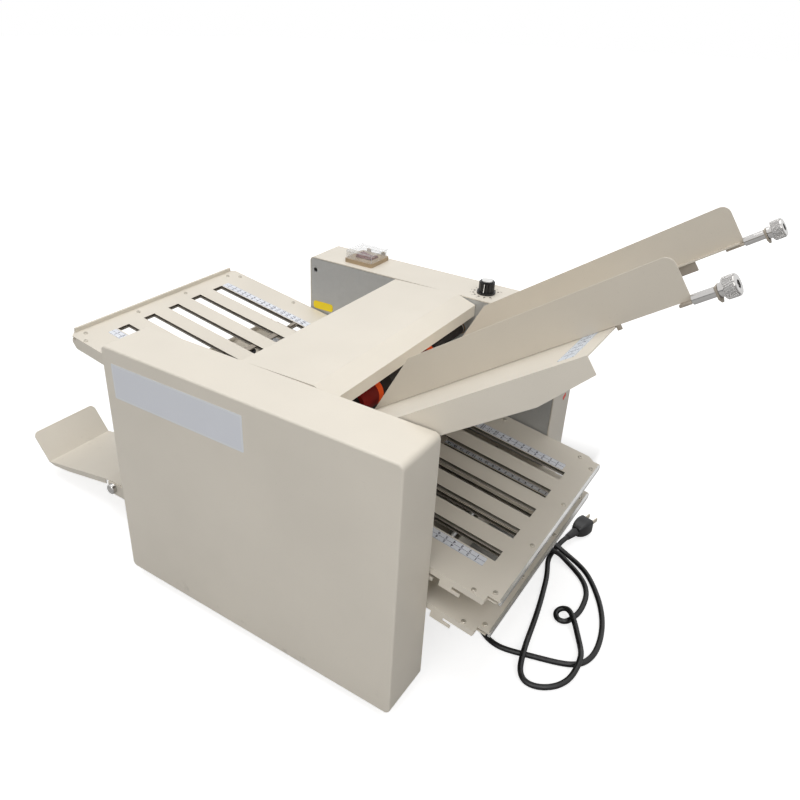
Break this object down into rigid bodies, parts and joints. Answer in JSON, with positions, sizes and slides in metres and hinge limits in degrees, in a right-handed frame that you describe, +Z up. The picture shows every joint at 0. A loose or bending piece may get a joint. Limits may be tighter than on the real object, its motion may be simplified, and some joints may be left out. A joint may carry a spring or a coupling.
{
  "type": "paper folding machine",
  "caption": "Desk-top paper folding machine with slotted fold plates, a sloping feed table with side guides, a tilting top cover, a dial, a guarded switch and a mains cord.",
  "frame": {"origin": "on the table surface, under the middle of the machine without its loose cord", "axes": "+Z up, +X towards the feed table, +Y towards the housing with the switch and the dial"},
  "size_m": [0.9361, 0.4737, 0.5369],
  "materials": {
    "black_plastic": "fine grain",
    "board": "semi gloss",
    "brass": "bright",
    "bright_steel": "satin",
    "bronze": "machined",
    "chrome": "polished",
    "clear_plastic": "clear",
    "cord_rubber": "satin",
    "feed_rubber": "matt soft rubber",
    "fold_rubber": "matt ground rubber",
    "foot_rubber": "matt",
    "gear_nylon": "smooth",
    "guide_coat": "fine satin powder coat",
    "motor_paint": "satin",
    "powder_coat": "fine satin powder coat",
    "red_plastic": "smooth",
    "side_plate_steel": "satin",
    "tan_plastic": "smooth"
  },
  "bodies": {
    "frame": {"near_cover": "powder_coat", "far_cover": "powder_coat", "near_side_plate": "side_plate_steel", "far_side_plate": "side_plate_steel", "base_plate": "powder_coat", "rubber_feet": "foot_rubber", "cross_bars": "bright_steel", "feed_table": "powder_coat", "delivery_chute": "bright_steel", "roller_bearings": "bronze", "plate_pins": "bright_steel", "motor": "motor_paint", "drive_belt": "cord_rubber", "speed_control_board": "board", "switch_frame": "tan_plastic", "cord_gland": "black_plastic", "power_cord": "cord_rubber", "power_plug": "black_plastic", "plug_pins": "brass", "tray_arm": "powder_coat", "fold_plate_1_upper": "powder_coat", "fold_plate_1_lower": "powder_coat", "fold_plate_2_upper": "powder_coat", "fold_plate_2_lower": "powder_coat", "fold_plate_2_end_bar": "chrome", "fold_plate_3_upper": "powder_coat", "fold_plate_3_lower": "powder_coat", "fold_plate_4_upper": "powder_coat", "fold_plate_4_lower": "powder_coat", "fold_plate_4_end_bar": "chrome"},
    "roller_1": {"fold_roller_1": "fold_rubber"},
    "roller_2": {"fold_roller_2": "fold_rubber"},
    "roller_3": {"fold_roller_3": "fold_rubber"},
    "roller_4": {"fold_roller_4": "fold_rubber"},
    "roller_5": {"fold_roller_5": "fold_rubber"},
    "roller_6": {"fold_roller_6": "fold_rubber"},
    "idler": {"idler_gear": "gear_nylon"},
    "feed_shaft": {"feed_roller": "bright_steel", "feed_tyres": "feed_rubber"},
    "motor_rotor": {"motor_shaft": "bright_steel"},
    "stop_1": {"fold_plate_1_stop": "bright_steel"},
    "stop_nut_1": {"fold_plate_1_stop_nut": "black_plastic"},
    "stop_2": {"fold_plate_2_stop": "bright_steel"},
    "stop_nut_2": {"fold_plate_2_stop_nut": "black_plastic"},
    "stop_3": {"fold_plate_3_stop": "bright_steel"},
    "stop_nut_3": {"fold_plate_3_stop_nut": "black_plastic"},
    "stop_4": {"fold_plate_4_stop": "bright_steel"},
    "stop_nut_4": {"fold_plate_4_stop_nut": "black_plastic"},
    "near_guide_unit": {"near_guide": "guide_coat", "near_guide_bracket": "guide_coat"},
    "near_guide_clamp": {"near_guide_screw": "chrome"},
    "far_guide_unit": {"far_guide": "guide_coat", "far_guide_bracket": "guide_coat"},
    "far_guide_clamp": {"far_guide_screw": "chrome"},
    "cover": {"top_cover": "powder_coat"},
    "tray": {"output_tray": "powder_coat"},
    "tray_clamp": {"tray_screw": "chrome"},
    "dial": {"speed_dial": "black_plastic"},
    "rocker": {"power_rocker": "red_plastic"},
    "guard": {"switch_guard": "clear_plastic"}
  },
  "joints": [
    {"name": "roller_1_spin", "type": "hinge", "parent": "frame", "child": "roller_1", "pos_m": [0.07929, 0, 0.23982], "axis": [0, 1, 0], "continuous": true},
    {"name": "roller_2_spin", "type": "hinge", "parent": "frame", "child": "roller_2", "pos_m": [0.07471, 0, 0.21018], "axis": [0, 1, 0], "continuous": true},
    {"name": "roller_3_spin", "type": "hinge", "parent": "frame", "child": "roller_3", "pos_m": [0.05971, 0, 0.1842], "axis": [0, 1, 0], "continuous": true},
    {"name": "roller_4_spin", "type": "hinge", "parent": "frame", "child": "roller_4", "pos_m": [0.05512, 0, 0.15455], "axis": [0, 1, 0], "continuous": true},
    {"name": "roller_5_spin", "type": "hinge", "parent": "frame", "child": "roller_5", "pos_m": [0.04012, 0, 0.12857], "axis": [0, 1, 0], "continuous": true},
    {"name": "roller_6_spin", "type": "hinge", "parent": "frame", "child": "roller_6", "pos_m": [0.03553, 0, 0.09892], "axis": [0, 1, 0], "continuous": true},
    {"name": "idler_spin", "type": "hinge", "parent": "frame", "child": "idler", "pos_m": [0.09877, -0.175, 0.26458], "axis": [0, 1, 0], "continuous": true},
    {"name": "feed_shaft_spin", "type": "hinge", "parent": "frame", "child": "feed_shaft", "pos_m": [0.101, 0, 0.296], "axis": [0, 1, 0], "continuous": true},
    {"name": "motor_spin", "type": "hinge", "parent": "frame", "child": "motor_rotor", "pos_m": [-0.066, 0, 0.055], "axis": [0, 1, 0], "continuous": true},
    {"name": "stop_1_slide", "type": "slide", "parent": "frame", "child": "stop_1", "axis": [0.9882, 0, -0.153], "range_m": [-0.143, 0.007]},
    {"name": "stop_nut_1_turn", "type": "hinge", "parent": "stop_1", "child": "stop_nut_1", "pos_m": [-0.14476, 0, 0.24783], "axis": [0.153, 0, 0.9882], "range_deg": [-180, 180]},
    {"name": "stop_2_slide", "type": "slide", "parent": "frame", "child": "stop_2", "axis": [0.9882, 0, -0.153], "range_m": [-0.007, 0.143]},
    {"name": "stop_nut_2_turn", "type": "hinge", "parent": "stop_2", "child": "stop_nut_2", "pos_m": [0.14605, 0, 0.18072], "axis": [0.153, 0, 0.9882], "range_deg": [-180, 180]},
    {"name": "stop_3_slide", "type": "slide", "parent": "frame", "child": "stop_3", "axis": [0.9882, 0, -0.153], "range_m": [-0.143, 0.007]},
    {"name": "stop_nut_3_turn", "type": "hinge", "parent": "stop_3", "child": "stop_nut_3", "pos_m": [-0.05676, 0, 0.17963], "axis": [0.153, 0, 0.9882], "range_deg": [-180, 180]},
    {"name": "stop_4_slide", "type": "slide", "parent": "frame", "child": "stop_4", "axis": [0.9882, 0, -0.153], "range_m": [-0.007, 0.143]},
    {"name": "stop_nut_4_turn", "type": "hinge", "parent": "stop_4", "child": "stop_nut_4", "pos_m": [0.13905, 0, 0.13162], "axis": [0.153, 0, 0.9882], "range_deg": [-180, 180]},
    {"name": "near_guide_slide", "type": "slide", "parent": "frame", "child": "near_guide_unit", "axis": [0, -1, 0], "range_m": [-0.05, 0.06]},
    {"name": "near_guide_clamp_turn", "type": "hinge", "parent": "near_guide_unit", "child": "near_guide_clamp", "pos_m": [0.44378, -0.09, 0.51325], "axis": [0.82, 0, 0.5724], "range_deg": [-180, 180]},
    {"name": "far_guide_slide", "type": "slide", "parent": "frame", "child": "far_guide_unit", "axis": [0, 1, 0], "range_m": [-0.05, 0.06]},
    {"name": "far_guide_clamp_turn", "type": "hinge", "parent": "far_guide_unit", "child": "far_guide_clamp", "pos_m": [0.44378, 0.09, 0.51325], "axis": [0.82, 0, 0.5724], "range_deg": [-180, 180]},
    {"name": "cover_hinge", "type": "hinge", "parent": "frame", "child": "cover", "pos_m": [-0.001, 0, 0.327], "axis": [0, -1, 0], "range_deg": [0, 100]},
    {"name": "tray_slide", "type": "slide", "parent": "frame", "child": "tray", "axis": [-0.999, 0, -0.0454], "range_m": [-0.002, 0.028]},
    {"name": "tray_clamp_turn", "type": "hinge", "parent": "frame", "child": "tray_clamp", "pos_m": [-0.276, -0.166, 0.051], "axis": [0, -1, 0], "range_deg": [-180, 180]},
    {"name": "dial_turn", "type": "hinge", "parent": "frame", "child": "dial", "pos_m": [0.1224, 0.1922, 0.344], "axis": [0, 0, -1], "range_deg": [0, 270]},
    {"name": "rocker_tilt", "type": "hinge", "parent": "frame", "child": "rocker", "pos_m": [-0.0805, 0.1989, 0.347], "axis": [0, -1, 0], "range_deg": [0, 16]},
    {"name": "guard_hinge", "type": "hinge", "parent": "frame", "child": "guard", "pos_m": [-0.0805, 0.2239, 0.3523], "axis": [-1, 0, 0], "range_deg": [0, 100]}
  ],
  "couplings": [
    {"joint": "roller_2_spin", "follows": "roller_1_spin", "ratio": -1},
    {"joint": "roller_3_spin", "follows": "roller_1_spin", "ratio": 1},
    {"joint": "roller_4_spin", "follows": "roller_1_spin", "ratio": -1},
    {"joint": "roller_5_spin", "follows": "roller_1_spin", "ratio": 1},
    {"joint": "roller_6_spin", "follows": "roller_1_spin", "ratio": -1},
    {"joint": "idler_spin", "follows": "roller_1_spin", "ratio": -0.90909},
    {"joint": "feed_shaft_spin", "follows": "roller_1_spin", "ratio": 1},
    {"joint": "motor_spin", "follows": "roller_1_spin", "ratio": -2}
  ]
}
